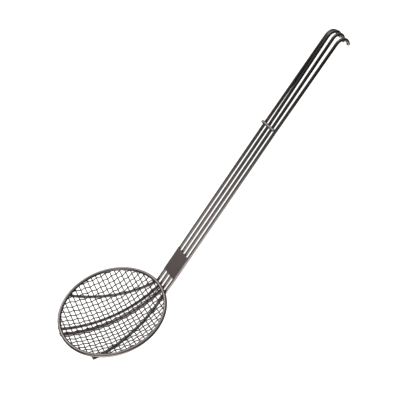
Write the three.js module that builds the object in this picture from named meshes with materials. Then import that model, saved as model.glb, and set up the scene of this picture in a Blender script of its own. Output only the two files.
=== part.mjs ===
// Long-handled mesh skimmer. A dish of woven wire sits in a ring of round rod. Four rods start under the
// far side of the ring, carry the dish as ribs, leave under its near side as the handle and end in hooks.
// Millimetres, +Z up. It lies as it does on a table: on its hooks and on the bends under the ring.
import * as THREE from 'three';

// Ring, measured to the middle of its rod
const ringRadius = 80;
const ringSize = 5.4;

// Dish of wire cloth in plain weave
const dishDepth = 23;
const wireSize = 1.65;
const wiresEachWay = 21;
const clothTurn = -4.1;
const clothShiftX = 1;
const clothShiftY = 1.5;

// Handle rods: lengths run from the bend under the ring
const rodSize = 4.7;
const bendPitch = 9;
const bendShift = -0.7;
const handleRise = 41.7;
const handleLength = 438;
const bendReach = 3;
const ribOverhang = 2.5;

// Hooks, all as deep from the middle of the rod to the lowest edge of the tip, so that all meet the table
const hookDrop = 22;

// Plate and tie bar, both welded on top of the rods
const plateLength = 40;
const plateWidth = 29.6;
const plateThickness = 1;
const plateCorner = 1.5;
const plateStart = 23.4;
const plateShift = -1.2;
const tieSize = 4.2;
const tieLength = 30.6;
const tieStart = 291;
const tiePitch = 8.6;
const tieShift = 0.7;

// Clearances between pieces that are welded and between crossing wires
const weldGap = 0.3;
const weaveGap = 0.1;

// Facets
const rodSides = 8;
const wireSides = 6;
const ringSteps = 72;
const ribSteps = 16;
const bendSteps = 4;
const hookSteps = 10;

// The rods draw together a little from the bends to the tie bar. Then each takes its own place across the
// handle at the hooks, where rod 2 has leaned over on rod 1 and lies higher, and starts its hook a little
// sooner or later than the next. The turns, in degrees, are the rib's from the handle's line and the hook's.
const rod1AtHook = 12.1;
const leanAtHook = 12;
const leanReach = rodSize + weldGap;

const radians = THREE.MathUtils.degToRad;
const rise = radians(handleRise);
const lean = radians(leanAtHook);
const rod2AtHook = rod1AtHook - leanReach * Math.cos(lean);
const rod2Lift = leanReach * Math.sin(lean);
const rods = [
  { name: 'rod_1', atHook: rod1AtHook, lift: 0, delay: 0, ribTurn: 24.6, hookTurn: 136 },
  { name: 'rod_2', atHook: rod2AtHook, lift: rod2Lift, delay: 0, ribTurn: 5.4, hookTurn: 136 },
  { name: 'rod_3', atHook: -2.1, lift: 0, delay: 1.5, ribTurn: 4.7, hookTurn: 160 },
  { name: 'rod_4', atHook: -13.4, lift: 0, delay: -2.5, ribTurn: -17.6, hookTurn: 136 },
];

// The cloth and the ribs lie on two spheres about one centre above the dish. The cloth's outer side comes
// level with the ring's outer side, and the ribs pass under both.
const waveHeight = wireSize / 2 + weaveGap;
const clothOffset = ringSize / 2 - wireSize / 2 - waveHeight;
const innerDepth = dishDepth - clothOffset;
const sphereHeight = (ringRadius ** 2 - innerDepth ** 2) / (2 * innerDepth);
const ringDistance = Math.hypot(ringRadius, sphereHeight);
const clothRadius = ringDistance + clothOffset;
const ribDrop = ringSize / 2 + rodSize / 2 + weldGap;
const ribRadius = ringDistance + ribDrop;
const ringSlope = Math.atan2(ringRadius, sphereHeight);

// Point of a sphere under its centre, by its place in plan
function underside(radius, x, y) {
  return new THREE.Vector3(x, y, sphereHeight - Math.sqrt(radius ** 2 - x ** 2 - y ** 2));
}

function steel(color, roughness) {
  return new THREE.MeshStandardMaterial({ color, roughness, metalness: 1 });
}

function piece(name, geometry, material) {
  const mesh = new THREE.Mesh(geometry, material);
  mesh.name = name;
  return mesh;
}

// Closed round bar through a list of points, with flat ends
function bar(points, size, sides) {
  const legs = points.slice(1).map((point, i) => point.clone().sub(points[i]).normalize());
  const tangents = points.map((point, i) => {
    const before = legs[Math.max(i - 1, 0)];
    const after = legs[Math.min(i, legs.length - 1)];
    return before.clone().add(after).normalize();
  });
  const up = new THREE.Vector3(0, 0, 1);
  const side = new THREE.Vector3().crossVectors(up, tangents[0]).normalize();
  const positions = [];
  points.forEach((point, i) => {
    if (i > 0) {
      const turn = new THREE.Quaternion().setFromUnitVectors(tangents[i - 1], tangents[i]);
      side.applyQuaternion(turn);
    }
    const over = new THREE.Vector3().crossVectors(tangents[i], side);
    for (let k = 0; k < sides; k += 1) {
      const angle = (2 * Math.PI * (k + 0.5)) / sides;
      const corner = point.clone();
      corner.addScaledVector(side, (Math.cos(angle) * size) / 2);
      corner.addScaledVector(over, (Math.sin(angle) * size) / 2);
      positions.push(corner.x, corner.y, corner.z);
    }
  });
  const faces = [];
  for (let i = 0; i < points.length - 1; i += 1) {
    for (let k = 0; k < sides; k += 1) {
      const a = i * sides + k;
      const b = i * sides + ((k + 1) % sides);
      faces.push(a, b, b + sides, a, b + sides, a + sides);
    }
  }
  const last = (points.length - 1) * sides;
  for (let k = 1; k < sides - 1; k += 1) {
    faces.push(0, k + 1, k);
    faces.push(last, last + k, last + k + 1);
  }
  const geometry = new THREE.BufferGeometry();
  geometry.setAttribute('position', new THREE.Float32BufferAttribute(positions, 3));
  geometry.setIndex(faces);
  geometry.computeVertexNormals();
  return geometry;
}

// Middle of the bend under the ring for a rod at a place across the handle: where the rib's sphere and the
// handle's line, both clear of the ring, meet
function bendPoint(across) {
  const ringX = Math.sqrt(ringRadius ** 2 - across ** 2);
  const reach = ribDrop * Math.sin((ringSlope + rise) / 2);
  return underside(ribRadius, ringX + reach, across);
}

// The handle's plane: along it from the bend, across it, and above it
const handleStart = bendPoint(0);
const handleAlong = new THREE.Vector3(Math.cos(rise), 0, Math.sin(rise));
const handleAbove = new THREE.Vector3(-Math.sin(rise), 0, Math.cos(rise));

function handlePoint(along, across, above) {
  const point = handleStart.clone();
  point.addScaledVector(handleAlong, along);
  point.addScaledVector(handleAbove, above);
  point.y = across;
  return point;
}

// Rib from its far end, under the ring, to the bend on the near side
function ribPoints(bend, ribTurn) {
  const turn = radians(ribTurn);
  const back = new THREE.Vector2(-Math.cos(turn), Math.sin(turn));
  const start = new THREE.Vector2(bend.x, bend.y);
  const inward = start.dot(back);
  const endRadius = ringRadius + ribOverhang;
  const length = -inward + Math.sqrt(inward ** 2 - start.lengthSq() + endRadius ** 2);
  const points = [];
  for (let i = 0; i <= ribSteps; i += 1) {
    const reach = THREE.MathUtils.lerp(length, bendReach, i / ribSteps);
    const plan = start.clone().addScaledVector(back, reach);
    points.push(underside(ribRadius, plan.x, plan.y));
  }
  return points;
}

function rodPoints(rod, index) {
  const place = 1.5 - index;
  const across = place * bendPitch + bendShift;
  const bend = bendPoint(across);
  const rib = ribPoints(bend, rod.ribTurn);
  const plateEdge = handlePoint(plateStart, across, 0);
  const leave = plateEdge.clone().sub(bend).setLength(bendReach).add(bend);
  const round = new THREE.QuadraticBezierCurve3(rib[rib.length - 1], bend, leave);
  const tie = handlePoint(tieStart, place * tiePitch + tieShift, 0);
  return [...rib, ...round.getPoints(bendSteps).slice(1), plateEdge, tie, ...hookPoints(rod)];
}

function hookPoints(rod) {
  const turn = radians(rod.hookTurn);
  const drop = hookDrop + rod.lift;
  const radius = (drop + (rodSize / 2) * Math.cos(turn)) / (1 - Math.cos(turn));
  const points = [];
  for (let i = 0; i <= hookSteps; i += 1) {
    const angle = (turn * i) / hookSteps;
    const along = handleLength + rod.delay + radius * Math.sin(angle);
    points.push(handlePoint(along, rod.atHook, rod.lift + radius * (Math.cos(angle) - 1)));
  }
  return points;
}

function handleRod(rod, index) {
  return piece(rod.name, bar(rodPoints(rod, index), rodSize, rodSides), steel(0x8d8683, 0.3));
}

function rimRing() {
  const geometry = new THREE.TorusGeometry(ringRadius, ringSize / 2, rodSides, ringSteps);
  return piece('rim_ring', geometry, steel(0x8d8683, 0.28));
}

// Wire cloth. A wire runs in a wave, over and under the wires that it crosses. Its place across the cloth,
// the place of its middle crossing and the wave's sign there fix it.
const wirePitch = (2 * ringRadius - ringSize) / wiresEachWay;

function wirePoint(wire, along) {
  const wave = wire.sign * waveHeight * Math.cos((Math.PI * (along - wire.crossing)) / wirePitch);
  const x = wire.lengthwise ? along : wire.across;
  const y = wire.lengthwise ? wire.across : along;
  return underside(clothRadius - wave, x, y);
}

// Room left between a wire's cut end and the ring, where the wire ends at a place along it
function roomToRing(wire, along) {
  const step = 0.01 * wirePitch * Math.sign(along);
  const end = wirePoint(wire, along);
  const heading = wirePoint(wire, along + step).sub(end).normalize();
  const nearest = new THREE.Vector3(end.x, end.y, 0).setLength(ringRadius);
  const outward = nearest.sub(end);
  const distance = outward.length();
  const slant = heading.dot(outward.normalize());
  const edge = (wireSize / 2) * Math.sqrt(1 - slant ** 2);
  return distance - ringSize / 2 - edge - weldGap;
}

// Where a wire ends on one side, found by halving the stretch in which it meets the ring
function wireEnd(wire, side) {
  let inside = 0;
  let outside = Math.sqrt(ringRadius ** 2 - wire.across ** 2);
  for (let i = 0; i < 40; i += 1) {
    const middle = (inside + outside) / 2;
    if (roomToRing(wire, side * middle) > 0) inside = middle;
    else outside = middle;
  }
  return side * inside;
}

function clothWire(name, wire) {
  const start = wireEnd(wire, -1);
  const end = wireEnd(wire, 1);
  const first = Math.ceil((start - wire.crossing) / wirePitch + 0.02);
  const last = Math.floor((end - wire.crossing) / wirePitch - 0.02);
  const points = [wirePoint(wire, start)];
  for (let i = first; i <= last; i += 1) points.push(wirePoint(wire, wire.crossing + i * wirePitch));
  points.push(wirePoint(wire, end));
  return piece(name, bar(points, wireSize, wireSides), steel(0x847d7a, 0.35));
}

function wireCloth() {
  const cloth = new THREE.Group();
  const middle = (wiresEachWay - 1) / 2;
  for (let i = 0; i < wiresEachWay; i += 1) {
    const place = (i - middle) * wirePitch;
    const number = String(i + 1).padStart(2, '0');
    const sign = i % 2 === 0 ? 1 : -1;
    const long = { across: place + clothShiftY, crossing: clothShiftX, sign, lengthwise: true };
    const cross = { across: place + clothShiftX, crossing: clothShiftY, sign: -sign, lengthwise: false };
    cloth.add(clothWire(`long_wire_${number}`, long), clothWire(`cross_wire_${number}`, cross));
  }
  cloth.rotation.z = radians(clothTurn);
  return cloth;
}

function handlePlate() {
  const outline = new THREE.Shape();
  const x = plateLength / 2 - plateCorner;
  const y = plateWidth / 2 - plateCorner;
  outline.absarc(x, y, plateCorner, 0, Math.PI / 2);
  outline.absarc(-x, y, plateCorner, Math.PI / 2, Math.PI);
  outline.absarc(-x, -y, plateCorner, Math.PI, 1.5 * Math.PI);
  outline.absarc(x, -y, plateCorner, 1.5 * Math.PI, 2 * Math.PI);
  const sheet = { depth: plateThickness, bevelEnabled: false, curveSegments: 4 };
  const plate = piece('handle_plate', new THREE.ExtrudeGeometry(outline, sheet), steel(0x6f6866, 0.45));
  plate.position.copy(handlePoint(plateStart + plateLength / 2, plateShift, rodSize / 2 + weldGap));
  plate.rotation.y = -rise;
  return plate;
}

function tieBar() {
  const geometry = new THREE.CylinderGeometry(tieSize / 2, tieSize / 2, tieLength, 12);
  const tie = piece('tie_bar', geometry, steel(0xa39b98, 0.3));
  tie.position.copy(handlePoint(tieStart, tieShift, rodSize / 2 + weldGap + tieSize / 2));
  tie.rotation.y = -rise;
  return tie;
}

// Slope of the line that touches the hooks and the bends from below, seen from the side
function restTilt(rodMeshes) {
  const corners = rodMeshes.flatMap((rod) => {
    const places = rod.geometry.getAttribute('position');
    return Array.from({ length: places.count }, (_, i) => ({ x: places.getX(i), z: places.getZ(i) }));
  });
  const drop = (corner) => corner.x * Math.sin(rise) - corner.z * Math.cos(rise);
  const hook = corners.reduce((low, corner) => (drop(corner) > drop(low) ? corner : low));
  const bowlSide = corners.filter((corner) => corner.x < hook.x - handleLength / 2);
  const slopes = bowlSide.map((corner) => (hook.z - corner.z) / (hook.x - corner.x));
  return Math.atan(Math.max(...slopes));
}

const lying = new THREE.Group();
const rodMeshes = rods.map(handleRod);
lying.add(rimRing(), ...rodMeshes, handlePlate(), tieBar(), wireCloth());
lying.rotation.y = restTilt(rodMeshes);

// Origin on the table, under the middle
const skimmer = new THREE.Group();
skimmer.add(lying);
skimmer.updateMatrixWorld(true);
const extent = new THREE.Box3().setFromObject(skimmer, true);
const middle = extent.getCenter(new THREE.Vector3());
lying.position.set(-middle.x, -middle.y, -extent.min.z);
skimmer.updateMatrixWorld(true);

export default skimmer;
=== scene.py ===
"""Looks of the long-handled mesh skimmer: smooth rods, woven wire, welds and dull plated steel."""
import math
from collections import namedtuple
import bpy
from mathutils import Matrix, Vector, noise


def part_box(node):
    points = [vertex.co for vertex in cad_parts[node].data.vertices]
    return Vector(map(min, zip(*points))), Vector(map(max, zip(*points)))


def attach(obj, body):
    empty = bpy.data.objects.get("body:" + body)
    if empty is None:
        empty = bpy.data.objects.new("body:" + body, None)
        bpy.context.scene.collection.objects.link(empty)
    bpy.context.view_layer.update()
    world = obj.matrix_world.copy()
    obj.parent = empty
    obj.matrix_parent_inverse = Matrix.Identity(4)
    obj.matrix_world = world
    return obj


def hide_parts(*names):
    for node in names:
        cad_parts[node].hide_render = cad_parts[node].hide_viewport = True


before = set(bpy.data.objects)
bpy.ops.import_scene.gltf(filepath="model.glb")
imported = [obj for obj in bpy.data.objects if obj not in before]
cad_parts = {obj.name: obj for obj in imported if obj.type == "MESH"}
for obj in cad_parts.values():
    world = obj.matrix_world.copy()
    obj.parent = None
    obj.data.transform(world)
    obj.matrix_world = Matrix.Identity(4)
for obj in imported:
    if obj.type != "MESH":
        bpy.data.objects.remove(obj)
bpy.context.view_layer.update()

MM = 0.001

# Sizes of the dish in metres, its radius and depth taken to the middle of the ring's rod and of the cloth
RING_RADIUS = 80 * MM
RING_SIZE = 5.4 * MM
DISH_DEPTH = 23 * MM
WIRE_SIZE = 1.65 * MM
WIRES_EACH_WAY = 21
CLOTH_TURN = math.radians(-4.1)
CLOTH_SHIFT_X = 1 * MM
CLOTH_SHIFT_Y = 1.5 * MM

# Sizes of the handle
ROD_SIZE = 4.7 * MM
BEND_PITCH = 9 * MM
BEND_SHIFT = -0.7 * MM
RISE = math.radians(41.7)
HANDLE_LENGTH = 438 * MM
BEND_REACH = 3 * MM
RIB_OVERHANG = 2.5 * MM
HOOK_DROP = 22 * MM
PLATE_LENGTH = 40 * MM
PLATE_WIDTH = 29.6 * MM
PLATE_THICKNESS = 1 * MM
PLATE_CORNER = 1.5 * MM
PLATE_START = 23.4 * MM
PLATE_SHIFT = -1.2 * MM
TIE_SIZE = 4.2 * MM
TIE_LENGTH = 30.6 * MM
TIE_START = 291 * MM
TIE_PITCH = 8.6 * MM
TIE_SHIFT = 0.7 * MM
WELD_GAP = 0.3 * MM
WEAVE_GAP = 0.1 * MM

# Rod 2 leans on rod 1 at the hooks
ROD_1_AT_HOOK = 12.1 * MM
LEAN = math.radians(12)
LEAN_REACH = ROD_SIZE + WELD_GAP
ROD_2_AT_HOOK = ROD_1_AT_HOOK - LEAN_REACH * math.cos(LEAN)
ROD_2_LIFT = LEAN_REACH * math.sin(LEAN)

# Each rod's place across the handle and its lift at the hooks, how much later its hook starts, and the turns
# of its rib and its hook, in degrees
Rod = namedtuple("Rod", "at_hook lift delay rib_turn hook_turn")
RODS = {
    "rod_1": Rod(ROD_1_AT_HOOK, 0, 0, 24.6, 136),
    "rod_2": Rod(ROD_2_AT_HOOK, ROD_2_LIFT, 0, 5.4, 136),
    "rod_3": Rod(-2.1 * MM, 0, 1.5 * MM, 4.7, 160),
    "rod_4": Rod(-13.4 * MM, 0, -2.5 * MM, -17.6, 136),
}

# The cloth and the ribs lie on two spheres about one centre above the dish
WAVE_HEIGHT = WIRE_SIZE / 2 + WEAVE_GAP
CLOTH_OFFSET = RING_SIZE / 2 - WIRE_SIZE / 2 - WAVE_HEIGHT
INNER_DEPTH = DISH_DEPTH - CLOTH_OFFSET
SPHERE_HEIGHT = (RING_RADIUS ** 2 - INNER_DEPTH ** 2) / (2 * INNER_DEPTH)
RING_DISTANCE = math.hypot(RING_RADIUS, SPHERE_HEIGHT)
CLOTH_RADIUS = RING_DISTANCE + CLOTH_OFFSET
RIB_DROP = RING_SIZE / 2 + ROD_SIZE / 2 + WELD_GAP
RIB_RADIUS = RING_DISTANCE + RIB_DROP
RING_SLOPE = math.atan2(RING_RADIUS, SPHERE_HEIGHT)
WIRE_PITCH = (2 * RING_RADIUS - RING_SIZE) / WIRES_EACH_WAY


# Places on the dish and the handle, in the dish's frame

def underside(radius, x, y):
    """Point of a sphere under its centre, by its place in plan."""
    return Vector((x, y, SPHERE_HEIGHT - math.sqrt(radius ** 2 - x ** 2 - y ** 2)))


def bend_point(across):
    """Middle of a rod's bend under the ring."""
    ring_x = math.sqrt(RING_RADIUS ** 2 - across ** 2)
    reach = RIB_DROP * math.sin((RING_SLOPE + RISE) / 2)
    return underside(RIB_RADIUS, ring_x + reach, across)


HANDLE_START = bend_point(0)


def handle_point(along, across, above):
    """Point by its place along, across and above the handle's plane."""
    x = HANDLE_START.x + along * math.cos(RISE) - above * math.sin(RISE)
    z = HANDLE_START.z + along * math.sin(RISE) + above * math.cos(RISE)
    return Vector((x, across, z))


def rod_place(index):
    """A rod's place in the row, counted in pitches from the middle."""
    return (len(RODS) - 1) / 2 - index


def bend_across(index):
    """A rod's place across the handle, from its bend to the start of the plate."""
    return rod_place(index) * BEND_PITCH + BEND_SHIFT


def tie_across(index):
    """A rod's place across the handle at the tie bar."""
    return rod_place(index) * TIE_PITCH + TIE_SHIFT


def rod_across(index, along):
    """A rod's place across the handle between the start of the plate and the tie bar."""
    bend, tie = bend_across(index), tie_across(index)
    return bend + (tie - bend) * (along - PLATE_START) / (TIE_START - PLATE_START)


def ring_side(point):
    """Middle of the ring's rod nearest to a point, and the ring's direction there."""
    out = Vector((point.x, point.y, 0)).normalized()
    return out * RING_RADIUS, Vector((-out.y, out.x, 0))


def box_middle(node):
    """Middle of a CAD node's box."""
    low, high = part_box(node)
    return (Vector(low) + Vector(high)) / 2


# The dish's frame as the skimmer lies: its middle is the ring's, and the tie bar gives its tilt
TIE_MIDDLE = handle_point(TIE_START, TIE_SHIFT, ROD_SIZE / 2 + WELD_GAP + TIE_SIZE / 2)
ring_middle = box_middle("rim_ring")
tie_place = box_middle("tie_bar") - ring_middle
tilt = math.atan2(TIE_MIDDLE.z, TIE_MIDDLE.x) - math.atan2(tie_place.z, tie_place.x)
LYING = Matrix.Translation(ring_middle) @ Matrix.Rotation(tilt, 4, "Y")


# Steel

# Streaks drawn along the wire, with a shallow relief
STREAK_STRETCH = 0.02
STREAK_DETAIL = 3
STREAK_ROUGHNESS = 0.5
RELIEF_STRENGTH = 0.12
RELIEF_DEPTH = 0.05 * MM

# Patches of tarnish, the streaks' share in them, and where the mixed noise counts as dull and as clean
PATCH_SCALE = 90
PATCH_DETAIL = 5
PATCH_ROUGHNESS = 0.6
STREAK_SHARE = 0.4
DULL_AT = 0.3
CLEAN_AT = 0.7

# Painted shade: the steel's colour darkens along X, from a place on the handle to the start of the hooks,
# and lightens again on their bends. The ends are in metres. Each stop has its place between them and the
# share of colour left there.
PAINTED_SHADE_ENDS = (-0.02, 0.29)
PAINTED_SHADE = ((0, 1), (0.9, 0.35), (1, 0.8))


def node_tree(name):
    """A new node material, with its nodes and links."""
    material = bpy.data.materials.new(name)
    material.use_nodes = True
    return material, material.node_tree.nodes, material.node_tree.links


def grey(value):
    """Colour of even red, green and blue."""
    return (value, value, value, 1)


def add_ramp(nodes, links, source, stops):
    """Colour ramp with the given places and colours."""
    node = nodes.new("ShaderNodeValToRGB")
    elements = node.color_ramp.elements
    while len(elements) < len(stops):
        elements.new(1.0)
    for element, (place, color) in zip(elements, stops):
        element.position = place
        element.color = color
    links.new(source, node.inputs["Fac"])
    return node.outputs["Color"]


def add_noise(nodes, links, source, scale, detail, roughness):
    """Noise read at the source's places."""
    node = nodes.new("ShaderNodeTexNoise")
    node.inputs["Scale"].default_value = scale
    node.inputs["Detail"].default_value = detail
    node.inputs["Roughness"].default_value = roughness
    links.new(source, node.inputs["Vector"])
    return node.outputs["Fac"]


def add_streaks(nodes, links, scale):
    """Noise drawn out along the wire, by the grain that each mesh holds."""
    grain = nodes.new("ShaderNodeAttribute")
    grain.attribute_name = "grain"
    stretch = nodes.new("ShaderNodeMapping")
    stretch.inputs["Scale"].default_value = (1, 1, STREAK_STRETCH)
    links.new(grain.outputs["Vector"], stretch.inputs["Vector"])
    return add_noise(nodes, links, stretch.outputs["Vector"], scale, STREAK_DETAIL, STREAK_ROUGHNESS)


def add_painted_shade(nodes, links, place):
    """Share of the colour that is left at a place along the handle: painted shade, darker towards the hooks.
    """
    along = nodes.new("ShaderNodeSeparateXYZ")
    links.new(place, along.inputs["Vector"])
    span = nodes.new("ShaderNodeMapRange")
    span.inputs["From Min"].default_value, span.inputs["From Max"].default_value = PAINTED_SHADE_ENDS
    links.new(along.outputs["X"], span.inputs["Value"])
    stops = [(where, grey(share)) for where, share in PAINTED_SHADE]
    return add_ramp(nodes, links, span.outputs["Result"], stops)


def plated_steel(name, clean, dull, roughness, streak_scale):
    """Plated steel: streaks drawn along the wire with a shallow relief, and duller patches."""
    material, nodes, links = node_tree(name)
    shader = nodes["Principled BSDF"]
    shader.inputs["Metallic"].default_value = 1.0
    place = nodes.new("ShaderNodeTexCoord").outputs["Object"]
    streaks = add_streaks(nodes, links, streak_scale)
    patches = add_noise(nodes, links, place, PATCH_SCALE, PATCH_DETAIL, PATCH_ROUGHNESS)
    mixed = nodes.new("ShaderNodeMix")
    mixed.data_type = "FLOAT"
    mixed.inputs["Factor"].default_value = STREAK_SHARE
    links.new(patches, mixed.inputs["A"])
    links.new(streaks, mixed.inputs["B"])
    tarnish = mixed.outputs["Result"]

    color = add_ramp(nodes, links, tarnish, [(DULL_AT, (*dull, 1)), (CLEAN_AT, (*clean, 1))])
    # Painted shade: the colour is multiplied by a share that darkens along X towards the hooks
    color_with_painted_shade = nodes.new("ShaderNodeVectorMath")
    color_with_painted_shade.operation = "MULTIPLY"
    links.new(color, color_with_painted_shade.inputs[0])
    links.new(add_painted_shade(nodes, links, place), color_with_painted_shade.inputs[1])
    links.new(color_with_painted_shade.outputs["Vector"], shader.inputs["Base Color"])

    low, high = roughness
    rough = add_ramp(nodes, links, tarnish, [(DULL_AT, grey(high)), (CLEAN_AT, grey(low))])
    links.new(rough, shader.inputs["Roughness"])

    relief = nodes.new("ShaderNodeBump")
    relief.inputs["Strength"].default_value = RELIEF_STRENGTH
    relief.inputs["Distance"].default_value = RELIEF_DEPTH
    links.new(streaks, relief.inputs["Height"])
    links.new(relief.outputs["Normal"], shader.inputs["Normal"])
    return material


ROD_STEEL = plated_steel(
    "plated_rod", roughness=(0.16, 0.25), streak_scale=1600,
    clean=(0.385, 0.338, 0.33), dull=(0.31, 0.273, 0.265))
WIRE_STEEL = plated_steel(
    "plated_wire", roughness=(0.26, 0.38), streak_scale=3000,
    clean=(0.20, 0.177, 0.173), dull=(0.15, 0.133, 0.13))
TIE_STEEL = plated_steel(
    "plated_tie", roughness=(0.18, 0.27), streak_scale=1600,
    clean=(0.60, 0.535, 0.525), dull=(0.52, 0.462, 0.454))
PLATE_STEEL = plated_steel(
    "plated_sheet", roughness=(0.42, 0.52), streak_scale=500,
    clean=(0.37, 0.313, 0.30), dull=(0.317, 0.264, 0.255))
WELD_STEEL = plated_steel(
    "weld_metal", roughness=(0.35, 0.55), streak_scale=900,
    clean=(0.30, 0.26, 0.25), dull=(0.17, 0.145, 0.14))


# Meshes

SHARP_ANGLE = math.radians(38)
ROUND_SIDES = 20


def piece(name, verts, faces, grain, material, slot, nodes=()):
    """A mesh in the dish's frame, moved to where the skimmer lies, riding on the part."""
    mesh = bpy.data.meshes.new(name)
    mesh.from_pydata([LYING @ v for v in verts], [], faces)
    attribute = mesh.attributes.new("grain", "FLOAT_VECTOR", "POINT")
    attribute.data.foreach_set("vector", [c for g in grain for c in g])
    mesh.shade_smooth()
    mesh.set_sharp_from_angle(angle=SHARP_ANGLE)
    mesh.materials.append(material)
    obj = bpy.data.objects.new(name, mesh)
    bpy.context.scene.collection.objects.link(obj)
    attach(obj, "root")
    if nodes:
        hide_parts(*nodes)


def loop_faces(loops, sides, base=0):
    """Faces between loops of points that follow each other, and over the first and the last loop."""
    faces = []
    for i in range(loops - 1):
        for k in range(sides):
            a = base + i * sides + k
            b = base + i * sides + (k + 1) % sides
            faces.append((a, b, b + sides, a + sides))
    end = base + (loops - 1) * sides
    faces.append(tuple(reversed(range(base, base + sides))))
    faces.append(tuple(range(end, end + sides)))
    return faces


def tube_rings(points, radius, chamfer):
    """Middle, direction and radius of each ring of a round bar with chamfered ends."""
    legs = [(b - a).normalized() for a, b in zip(points, points[1:])]
    tangents = [legs[0]]
    tangents += [(a + b).normalized() for a, b in zip(legs, legs[1:])]
    tangents += [legs[-1]]
    first = points[0] + tangents[0] * chamfer
    last = points[-1] - tangents[-1] * chamfer
    inner = radius - chamfer
    rings = [(points[0], tangents[0], inner), (first, tangents[0], radius)]
    rings += [(p, t, radius) for p, t in zip(points[1:-1], tangents[1:-1])]
    rings += [(last, tangents[-1], radius), (points[-1], tangents[-1], inner)]
    return rings


def tube_parts(points, radius, sides, chamfer):
    """Vertices, faces and grain of a round bar through the points."""
    rings = tube_rings(points, radius, chamfer)
    before, heading, _ = rings[0]
    side = heading.cross(Vector((0, 0, 1))).normalized()
    length = 0
    verts, grain = [], []
    for middle, tangent, size in rings:
        side = heading.rotation_difference(tangent) @ side
        over = tangent.cross(side)
        length += (middle - before).length
        before, heading = middle, tangent
        for k in range(sides):
            angle = 2 * math.pi * k / sides
            lean = side * math.cos(angle) + over * math.sin(angle)
            verts.append(middle + lean * size)
            grain.append((radius * math.cos(angle), radius * math.sin(angle), length))
    return verts, loop_faces(len(rings), sides), grain


# Weld beads

# Lumpy egg shapes: rows and columns of points, the angle cut off each tip, and the lumps' height and noise
BEAD_ROWS = 8
BEAD_COLUMNS = 14
BEAD_TIP = math.radians(6)
BEAD_LUMP = 0.22
LUMP_SCALE = 1.6
LUMP_SPREAD = 700

# Half lengths of each bead along, across and up
RING_BEAD = (2.6 * MM, 2.4 * MM, 1.5 * MM)
TIE_BEAD = (2.3 * MM, 2.0 * MM, 1.2 * MM)
PLATE_BEAD = (1.4 * MM, 1.7 * MM, 0.8 * MM)
SEAM_BEAD = (6 * MM, 1.0 * MM, 1.5 * MM)
WIRE_BEAD = (1.2 * MM, 1.1 * MM, 0.9 * MM)


def bead(parts, middle, along, across, size):
    """Add a lumpy bead of weld metal, lying along one direction and across another."""
    verts, faces, grain = parts
    along = along.normalized()
    up = along.cross(across).normalized()
    across = up.cross(along)
    faces += loop_faces(BEAD_ROWS + 1, BEAD_COLUMNS, len(verts))
    for row in range(BEAD_ROWS + 1):
        polar = math.pi - BEAD_TIP - (math.pi - 2 * BEAD_TIP) * row / BEAD_ROWS
        round_part = math.sin(polar)
        for column in range(BEAD_COLUMNS):
            turn = 2 * math.pi * column / BEAD_COLUMNS
            lean = Vector((math.cos(polar), round_part * math.cos(turn), round_part * math.sin(turn)))
            swell = 1 + BEAD_LUMP * noise.noise(lean * LUMP_SCALE + middle * LUMP_SPREAD)
            reach = [part * length * swell for part, length in zip(lean, size)]
            verts.append(middle + along * reach[0] + across * reach[1] + up * reach[2])
            grain.append(tuple(reach))


def rod_beads():
    """Beads where the rods meet the ring, the tie bar, the plate and each other."""
    ring, tie, plate = ([], [], []), ([], [], []), ([], [], [])
    forward, sideways = handle_point(1, 0, 0) - HANDLE_START, Vector((0, 1, 0))
    top = ROD_SIZE / 2 + WELD_GAP / 2
    for index, rod in enumerate(RODS.values()):
        bend = bend_point(bend_across(index))
        rib = rib_points(bend, math.radians(rod.rib_turn))
        for end, heading in ((rib[0], rib[1] - rib[0]), (bend, rib[-1] - rib[-2])):
            middle, tangent = ring_side(end)
            seat = middle + (end - middle).normalized() * (RING_SIZE + WELD_GAP) / 2
            bead(ring, seat, heading, tangent, RING_BEAD)
        bead(tie, handle_point(TIE_START, tie_across(index), top), forward, sideways, TIE_BEAD)
        for along in (PLATE_START, PLATE_START + PLATE_LENGTH):
            bead(plate, handle_point(along, rod_across(index, along), top), forward, sideways, PLATE_BEAD)
    seam = handle_point(HANDLE_LENGTH, (ROD_1_AT_HOOK + ROD_2_AT_HOOK) / 2, ROD_2_LIFT / 2)
    bead(ring, seam, forward, sideways, SEAM_BEAD)
    piece("ring_welds", *ring, WELD_STEEL, "rod_steel")
    piece("tie_welds", *tie, WELD_STEEL, "tie_steel")
    piece("plate_welds", *plate, WELD_STEEL, "plate_steel")


# Rim ring

RING_STEPS = 180


def rim_ring():
    """Round rod bent to a closed circle."""
    verts, faces, grain = [], [], []
    for i in range(RING_STEPS):
        around = 2 * math.pi * i / RING_STEPS
        for k in range(ROUND_SIDES):
            angle = 2 * math.pi * k / ROUND_SIDES
            reach = RING_RADIUS + RING_SIZE / 2 * math.cos(angle)
            height = RING_SIZE / 2 * math.sin(angle)
            verts.append(Vector((reach * math.cos(around), reach * math.sin(around), height)))
            grain.append((RING_SIZE / 2 * math.cos(angle), height, RING_RADIUS * around))
            a, b = i * ROUND_SIDES + k, i * ROUND_SIDES + (k + 1) % ROUND_SIDES
            step = ROUND_SIDES if i < RING_STEPS - 1 else -i * ROUND_SIDES
            faces.append((a, a + step, b + step, b))
    piece("rim_ring_form", verts, faces, grain, ROD_STEEL, "rod_steel", ["rim_ring"])


# Handle rods

RIB_STEPS = 40
BEND_STEPS = 8
HOOK_STEPS = 28
ROD_CHAMFER = 0.35 * MM


def rib_points(bend, rib_turn):
    """Points of a rib under the dish, from its end past the far side of the ring to its bend."""
    back = Vector((-math.cos(rib_turn), math.sin(rib_turn)))
    start = Vector((bend.x, bend.y))
    inward = start.dot(back)
    end_radius = RING_RADIUS + RIB_OVERHANG
    length = -inward + math.sqrt(inward ** 2 - start.length_squared + end_radius ** 2)
    points = []
    for i in range(RIB_STEPS + 1):
        plan = start + back * (length + (BEND_REACH - length) * i / RIB_STEPS)
        points.append(underside(RIB_RADIUS, plan.x, plan.y))
    return points


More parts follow.
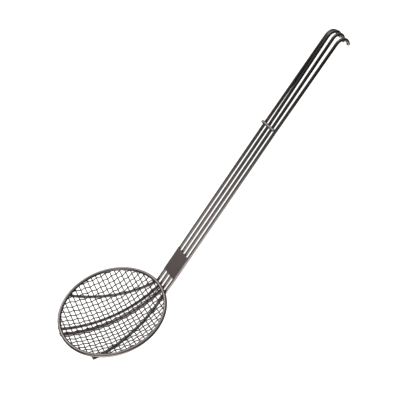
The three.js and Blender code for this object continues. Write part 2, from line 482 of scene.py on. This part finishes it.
def bend_points(start, bend, end):
    """Points of a rod's bend, as a quadratic curve after its start."""
    points = []
    for i in range(1, BEND_STEPS + 1):
        t = i / BEND_STEPS
        points.append(start * (1 - t) ** 2 + bend * 2 * t * (1 - t) + end * t ** 2)
    return points


def hook_points(rod):
    """Points of a rod's hook, an arc whose tip comes down by the hooks' drop."""
    turn = math.radians(rod.hook_turn)
    radius = (HOOK_DROP + rod.lift + ROD_SIZE / 2 * math.cos(turn)) / (1 - math.cos(turn))
    points = []
    for i in range(HOOK_STEPS + 1):
        angle = turn * i / HOOK_STEPS
        along = HANDLE_LENGTH + rod.delay + radius * math.sin(angle)
        points.append(handle_point(along, rod.at_hook, rod.lift + radius * (math.cos(angle) - 1)))
    return points


def handle_rods():
    """Each rod in one length: rib, bend, handle and hook."""
    for index, (name, rod) in enumerate(RODS.items()):
        across = bend_across(index)
        bend = bend_point(across)
        rib = rib_points(bend, math.radians(rod.rib_turn))
        plate_edge = handle_point(PLATE_START, across, 0)
        leave = bend + (plate_edge - bend).normalized() * BEND_REACH
        tie = handle_point(TIE_START, tie_across(index), 0)
        points = rib + bend_points(rib[-1], bend, leave) + [plate_edge, tie] + hook_points(rod)
        parts = tube_parts(points, ROD_SIZE / 2, ROUND_SIDES, ROD_CHAMFER)
        piece(name + "_form", *parts, ROD_STEEL, "rod_steel", [name])


# Wire cloth

WAVE_STEPS = 8
FEWEST_STEPS = 4
WIRE_SIDES = 10
WIRE_CHAMFER = 0.15 * MM
END_HALVINGS = 40

# A wire's place across its own direction, a crossing on it, whether it goes over (1) or under (-1) there,
# and whether it lies along the handle
Wire = namedtuple("Wire", "across crossing sign lengthwise")


def wire_point(wire, along):
    """Point of a wire, waved over and under the wires that it crosses."""
    wave = wire.sign * WAVE_HEIGHT * math.cos(math.pi * (along - wire.crossing) / WIRE_PITCH)
    x, y = (along, wire.across) if wire.lengthwise else (wire.across, along)
    return underside(CLOTH_RADIUS - wave, x, y)


def wire_end(wire, side):
    """Where a wire meets the ring's surface on one side."""
    inside, outside = 0, math.sqrt(RING_RADIUS ** 2 - wire.across ** 2)
    for _ in range(END_HALVINGS):
        middle = (inside + outside) / 2
        end = wire_point(wire, side * middle)
        nearest = ring_side(end)[0]
        if (nearest - end).length > RING_SIZE / 2:
            inside = middle
        else:
            outside = middle
    return side * inside


def wire_cloth():
    """Two sets of wires in plain weave, each wire with a bead at both ends."""
    turn = Matrix.Rotation(CLOTH_TURN, 3, "Z")
    middle = (WIRES_EACH_WAY - 1) / 2
    welds = ([], [], [])
    for i in range(WIRES_EACH_WAY):
        place = (i - middle) * WIRE_PITCH
        sign = 1 if i % 2 == 0 else -1
        kinds = {
            "long": Wire(place + CLOTH_SHIFT_Y, CLOTH_SHIFT_X, sign, True),
            "cross": Wire(place + CLOTH_SHIFT_X, CLOTH_SHIFT_Y, -sign, False),
        }
        for kind, wire in kinds.items():
            node = f"{kind}_wire_{i + 1:02d}"
            start, end = wire_end(wire, -1), wire_end(wire, 1)
            steps = max(FEWEST_STEPS, round((end - start) / WIRE_PITCH * WAVE_STEPS))
            places = [start + (end - start) * k / steps for k in range(steps + 1)]
            points = [turn @ wire_point(wire, along) for along in places]
            parts = tube_parts(points, WIRE_SIZE / 2, WIRE_SIDES, WIRE_CHAMFER)
            piece(node + "_form", *parts, WIRE_STEEL, "wire_steel", [node])
            for tip, inner in ((points[0], points[1]), (points[-1], points[-2])):
                bead(welds, tip, tip - inner, ring_side(tip)[1], WIRE_BEAD)
    piece("wire_welds", *welds, WELD_STEEL, "wire_steel")


# Plate and tie bar

PLATE_EDGE = 0.3 * MM
EDGE_STEPS = 4
CORNER_STEPS = 8


def plate_outline():
    """Centres of the plate's corner arcs, each with the directions of the points on its arc."""
    x, y = PLATE_LENGTH / 2 - PLATE_CORNER, PLATE_WIDTH / 2 - PLATE_CORNER
    outline = []
    for quarter, (corner_x, corner_y) in enumerate([(x, y), (-x, y), (-x, -y), (x, -y)]):
        for k in range(CORNER_STEPS + 1):
            angle = math.pi / 2 * (quarter + k / CORNER_STEPS)
            outline.append((corner_x, corner_y, math.cos(angle), math.sin(angle)))
    return outline


def plate_layers():
    """Inset and height of each loop around the plate, from its lower face to its upper face."""
    lower = ROD_SIZE / 2 + WELD_GAP
    curve = []
    for k in range(EDGE_STEPS + 1):
        angle = math.pi / 2 * k / EDGE_STEPS
        curve.append((PLATE_EDGE * (1 - math.sin(angle)), PLATE_EDGE * (1 - math.cos(angle))))
    layers = [(inset, lower + height) for inset, height in curve]
    layers += [(inset, lower + PLATE_THICKNESS - height) for inset, height in reversed(curve)]
    return layers


def handle_plate():
    """Sheet with rounded corners and a small round-over on its edges."""
    outline, layers = plate_outline(), plate_layers()
    verts, grain = [], []
    for inset, above in layers:
        for corner_x, corner_y, out_x, out_y in outline:
            along = corner_x + out_x * (PLATE_CORNER - inset)
            across = corner_y + out_y * (PLATE_CORNER - inset)
            verts.append(handle_point(PLATE_START + PLATE_LENGTH / 2 + along, PLATE_SHIFT + across, above))
            grain.append((across, above, along))
    faces = loop_faces(len(layers), len(outline))
    piece("handle_plate_form", verts, faces, grain, PLATE_STEEL, "plate_steel", ["handle_plate"])


def tie_bar():
    """Short straight rod across the handle."""
    half = Vector((0, TIE_LENGTH / 2, 0))
    points = [TIE_MIDDLE - half, TIE_MIDDLE - half / 2, TIE_MIDDLE + half / 2, TIE_MIDDLE + half]
    parts = tube_parts(points, TIE_SIZE / 2, ROUND_SIDES, ROD_CHAMFER)
    piece("tie_bar_form", *parts, TIE_STEEL, "tie_steel", ["tie_bar"])


# Camera fitted to the photograph

# Its angles about the dish in radians, its distance and nearest sight in metres, the pixel where the ring's
# middle shows, and the sensor's width in millimetres
CAMERA_AZIMUTH = -0.3753
CAMERA_ELEVATION = 0.7533
CAMERA_ROLL = -0.2053
CAMERA_DISTANCE = 1.1142
CAMERA_NEAR = 0.01
FOCAL_PIXELS = 751.9
PHOTO_PIXELS = 400
RING_PIXEL_X = 112.12
RING_PIXEL_Y = 309.94
SENSOR_WIDTH = 36


def set_camera():
    """Camera whose place and turn are worked out in the dish's frame."""
    level = math.cos(CAMERA_ELEVATION)
    back_x = math.sin(CAMERA_AZIMUTH) * level
    back_y = -math.cos(CAMERA_AZIMUTH) * level
    back = Vector((back_x, back_y, math.sin(CAMERA_ELEVATION)))
    side = Vector((math.cos(CAMERA_AZIMUTH), math.sin(CAMERA_AZIMUTH), 0))
    right = Matrix.Rotation(CAMERA_ROLL, 3, back) @ side
    up = back.cross(right)
    pixel = CAMERA_DISTANCE / FOCAL_PIXELS
    left_by = (PHOTO_PIXELS / 2 - RING_PIXEL_X) * pixel
    raised_by = (RING_PIXEL_Y - PHOTO_PIXELS / 2) * pixel
    place = right * left_by + up * raised_by + back * CAMERA_DISTANCE
    data = bpy.data.cameras.new("camera")
    data.lens = FOCAL_PIXELS * SENSOR_WIDTH / PHOTO_PIXELS
    data.sensor_width = SENSOR_WIDTH
    data.clip_start = CAMERA_NEAR
    camera = bpy.data.objects.new("camera", data)
    turn = Matrix((right, up, back)).transposed().to_4x4()
    camera.matrix_world = LYING @ Matrix.Translation(place) @ turn
    bpy.context.scene.collection.objects.link(camera)
    bpy.context.scene.camera = camera


# Pale floor and soft light

# Half width and height of the floor in metres, and the colours of the floor and the room
FLOOR_HALF = 4
FLOOR_HEIGHT = -0.5 * MM
FLOOR_COLOR = (0.8, 0.8, 0.78, 1)
FLOOR_GLOW = 1.0
PALE = (1, 1, 0.985, 1)
WHITE = (1, 1, 1, 1)

# Soft lights around the room: the way to each from the skimmer, how tight it is, and its glow
ROOM_GLOW = 0.01
ROOM_LIGHTS = {
    "sky": ((-0.45, 0.68, 0.58), 8, 0.32),
    "behind_right": ((0.42, 0.70, 0.58), 20, 1.9),
    "top_right": ((0.6, 0.1, 0.8), 8, 0.45),
    "top": ((0.2, -0.3, 0.93), 12, 0.3),
    "right": ((0.9, -0.1, 0.2), 4, 0.35),
    "front_left": ((-0.8, -0.39, 0.46), 16, 0.7),
    "low_left": ((-0.8, -0.59, -0.1), 8, 0.3),
    "low_behind": ((0.1, 1, -0.2), 8, 0.35),
    "under": ((-0.1, 0.4, -0.9), 8, 0.1),
}

# Bright floor in front of the dish, as the steel sees it: it fades towards the hooks, backwards and upwards
APRON_GLOW = 1.3
APRON_FADES = {"X": (-0.30, -0.12), "Y": (-0.55, 0.0), "Z": (0.5, 0.95)}


def set_floor():
    """Pale floor with a glow of its own, so that it stays even, kept out of the steel's reflections."""
    corners = [(-1, -1), (1, -1), (1, 1), (-1, 1)]
    verts = [(x * FLOOR_HALF, y * FLOOR_HALF, FLOOR_HEIGHT) for x, y in corners]
    mesh = bpy.data.meshes.new("floor")
    mesh.from_pydata(verts, [], [(0, 1, 2, 3)])
    material, nodes, _ = node_tree("pale_floor")
    shader = nodes["Principled BSDF"]
    shader.inputs["Base Color"].default_value = FLOOR_COLOR
    shader.inputs["Roughness"].default_value = 1
    shader.inputs["Specular IOR Level"].default_value = 0
    shader.inputs["Emission Color"].default_value = PALE
    shader.inputs["Emission Strength"].default_value = FLOOR_GLOW
    mesh.materials.append(material)
    floor = bpy.data.objects.new("floor", mesh)
    floor.visible_glossy = False
    bpy.context.scene.collection.objects.link(floor)


def add_math(nodes, links, operation, *values):
    """Maths node on sockets and plain numbers."""
    node = nodes.new("ShaderNodeMath")
    node.operation = operation
    for socket, value in zip(node.inputs, values):
        if isinstance(value, (int, float)):
            socket.default_value = value
        else:
            links.new(value, socket)
    return node.outputs["Value"]


def add_fade(nodes, links, source, ends):
    """One before the first place, easing to nothing at the second."""
    node = nodes.new("ShaderNodeMapRange")
    node.interpolation_type = "SMOOTHSTEP"
    node.inputs["From Min"].default_value, node.inputs["From Max"].default_value = ends
    node.inputs["To Min"].default_value = 1
    node.inputs["To Max"].default_value = 0
    links.new(source, node.inputs["Value"])
    return node.outputs["Result"]


def add_apron(nodes, links, direction):
    """Glow of the room and of the bright floor in front of the dish."""
    split = nodes.new("ShaderNodeSeparateXYZ")
    links.new(direction, split.inputs["Vector"])
    fades = [add_fade(nodes, links, split.outputs[axis], ends) for axis, ends in APRON_FADES.items()]
    apron = fades[0]
    for fade in fades[1:]:
        apron = add_math(nodes, links, "MULTIPLY", apron, fade)
    return add_math(nodes, links, "MULTIPLY_ADD", apron, APRON_GLOW, ROOM_GLOW)


def add_light(nodes, links, direction, way, tightness, glow):
    """Soft light: its glow times e to the power of its tightness times the cosine off its way less one."""
    nearness = nodes.new("ShaderNodeVectorMath")
    nearness.operation = "DOT_PRODUCT"
    nearness.inputs[1].default_value = Vector(way).normalized()
    links.new(direction, nearness.inputs[0])
    offset = math.log(glow) - tightness
    power = add_math(nodes, links, "MULTIPLY_ADD", nearness.outputs["Value"], tightness, offset)
    return add_math(nodes, links, "EXPONENT", power)


def set_room():
    """Dim room with soft lights around the skimmer, pale where the camera sees past the floor."""
    world = bpy.data.worlds.new("room")
    world.use_nodes = True
    nodes, links = world.node_tree.nodes, world.node_tree.links
    direction = nodes.new("ShaderNodeTexCoord").outputs["Generated"]
    total = add_apron(nodes, links, direction)
    for light in ROOM_LIGHTS.values():
        total = add_math(nodes, links, "ADD", total, add_light(nodes, links, direction, *light))
    room = nodes["Background"]
    room.inputs["Color"].default_value = WHITE
    links.new(total, room.inputs["Strength"])

    pale = nodes.new("ShaderNodeBackground")
    pale.inputs["Color"].default_value = PALE
    path = nodes.new("ShaderNodeLightPath")
    mix = nodes.new("ShaderNodeMixShader")
    links.new(path.outputs["Is Camera Ray"], mix.inputs["Fac"])
    links.new(room.outputs["Background"], mix.inputs[1])
    links.new(pale.outputs["Background"], mix.inputs[2])
    links.new(mix.outputs["Shader"], nodes["World Output"].inputs["Surface"])
    bpy.context.scene.world = world


# The skimmer and its scene

rim_ring()
handle_rods()
wire_cloth()
handle_plate()
tie_bar()
rod_beads()

bpy.context.scene.view_settings.view_transform = "Standard"
set_camera()
set_floor()
set_room()
